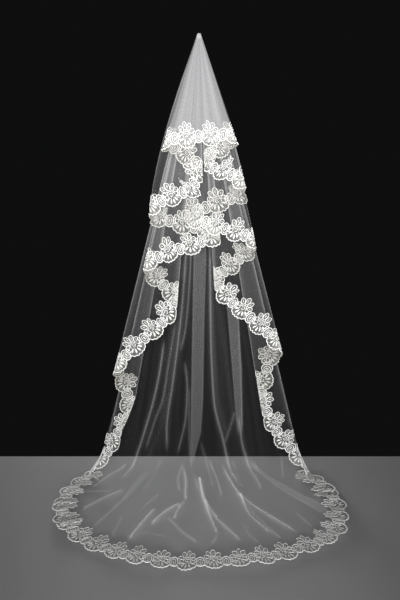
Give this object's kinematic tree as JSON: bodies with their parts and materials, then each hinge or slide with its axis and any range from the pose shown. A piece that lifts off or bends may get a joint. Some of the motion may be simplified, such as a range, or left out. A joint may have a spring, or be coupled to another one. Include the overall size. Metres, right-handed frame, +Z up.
{
  "type": "lace bridal veil",
  "caption": "Long bridal veil of plain net with a corded lace border, hung from its gathered tip, with a short front tier, cascading sides and a train on the floor.",
  "frame": {"origin": "top of the gathered tip, the point that the veil hangs from", "axes": "+Z up, -Y towards the front tier and the train, +X to the right as seen from the front"},
  "size_m": [1.1775, 0.7109, 1.8449],
  "materials": {
    "net": "sheer matt net",
    "lace": "soft satin cord and matt thread"
  },
  "bodies": {
    "root": {"gathered_tip": "net", "front_and_sides": "net", "back_fall": "net", "train": "net", "hanging_lace": "lace", "train_lace": "lace"}
  },
  "joints": []
}
